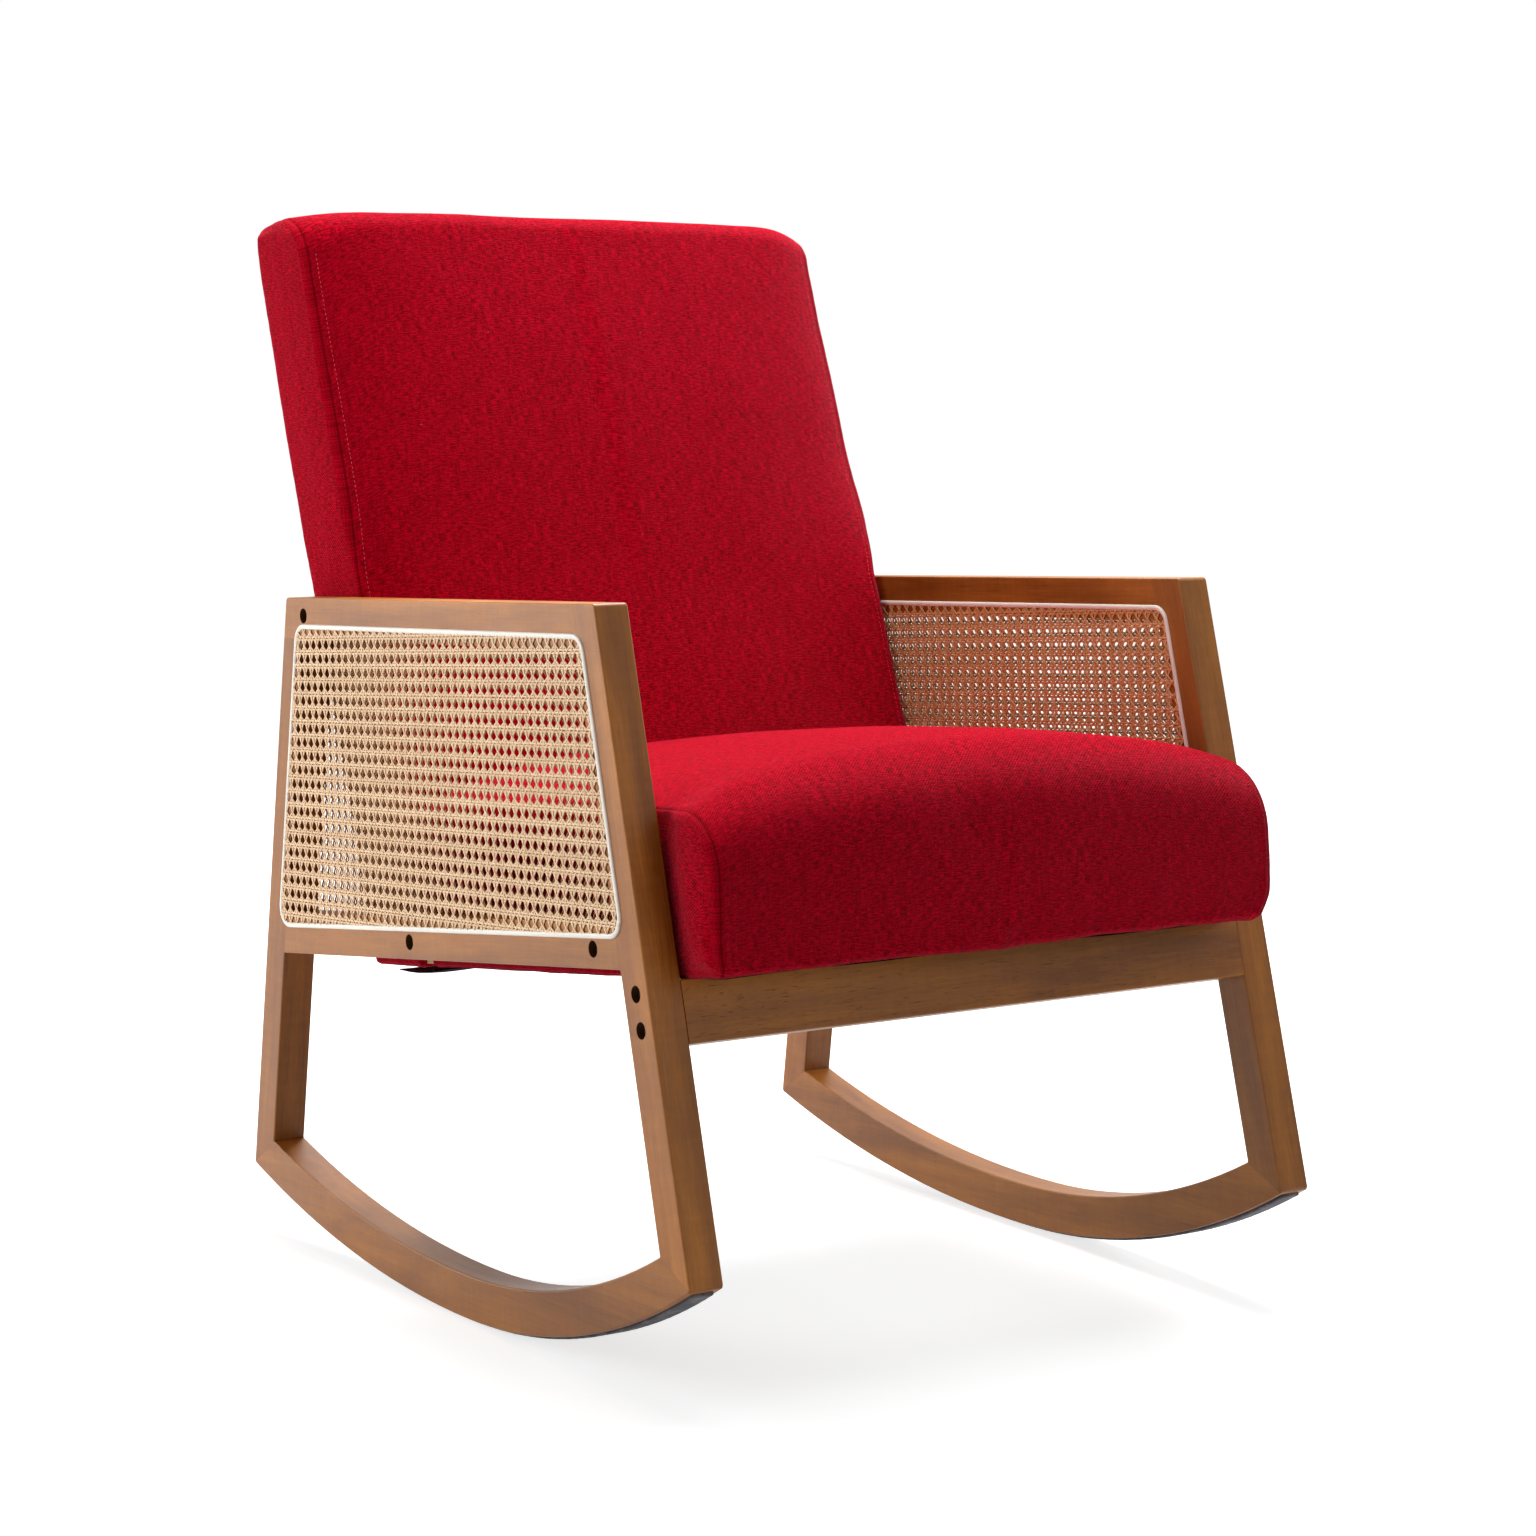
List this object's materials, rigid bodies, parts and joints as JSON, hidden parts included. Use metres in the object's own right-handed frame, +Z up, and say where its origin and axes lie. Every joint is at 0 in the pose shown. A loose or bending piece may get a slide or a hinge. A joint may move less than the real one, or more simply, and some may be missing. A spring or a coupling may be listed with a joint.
{
  "type": "rocking chair",
  "caption": "Upholstered rocking chair with wooden side frames on curved rockers, double cane side panels and a red seat and back.",
  "frame": {"origin": "on the floor under the middle of the whole chair", "axes": "+X to the sitter's left, -Y to the front, +Z up"},
  "size_m": [0.6432, 0.8442, 0.9727],
  "materials": {
    "frame_wood": "satin",
    "inner_wood": "matte",
    "cane": "satin",
    "spline": "satin",
    "upholstery": "matte",
    "webbing": "matte",
    "dust_cloth": "matte",
    "felt": "matte",
    "bolt_steel": "satin",
    "nut_steel": "satin",
    "spacer": "matte"
  },
  "bodies": {
    "root": {"arm_rail_left": "frame_wood", "arm_rail_right": "frame_wood", "back_bottom_rail": "inner_wood", "back_cushion": "upholstery", "back_leg_left": "frame_wood", "back_leg_right": "frame_wood", "back_mid_rail": "inner_wood", "back_panel": "upholstery", "back_stile_left": "inner_wood", "back_stile_right": "inner_wood", "back_top_rail": "inner_wood", "back_webbing": "webbing", "barrel_nuts": "nut_steel", "cane_inner_left": "cane", "cane_inner_right": "cane", "cane_outer_left": "cane", "cane_outer_right": "cane", "dust_cover": "dust_cloth", "frame_dowels_left": "inner_wood", "frame_dowels_right": "inner_wood", "front_leg_left": "frame_wood", "front_leg_right": "frame_wood", "front_rail": "frame_wood", "insert_nuts": "nut_steel", "rail_bolts": "bolt_steel", "rocker_felt_left": "felt", "rocker_felt_right": "felt", "rocker_left": "frame_wood", "rocker_right": "frame_wood", "seat_corner_blocks": "inner_wood", "seat_cushion": "upholstery", "seat_front_rail": "inner_wood", "seat_side_rail_left": "inner_wood", "seat_side_rail_right": "inner_wood", "seat_webbing": "webbing", "side_rail_left": "frame_wood", "side_rail_right": "frame_wood", "spacers": "spacer", "spline_inner_left": "spline", "spline_inner_right": "spline", "spline_outer_left": "spline", "spline_outer_right": "spline", "unit_bolts": "bolt_steel"}
  },
  "joints": []
}
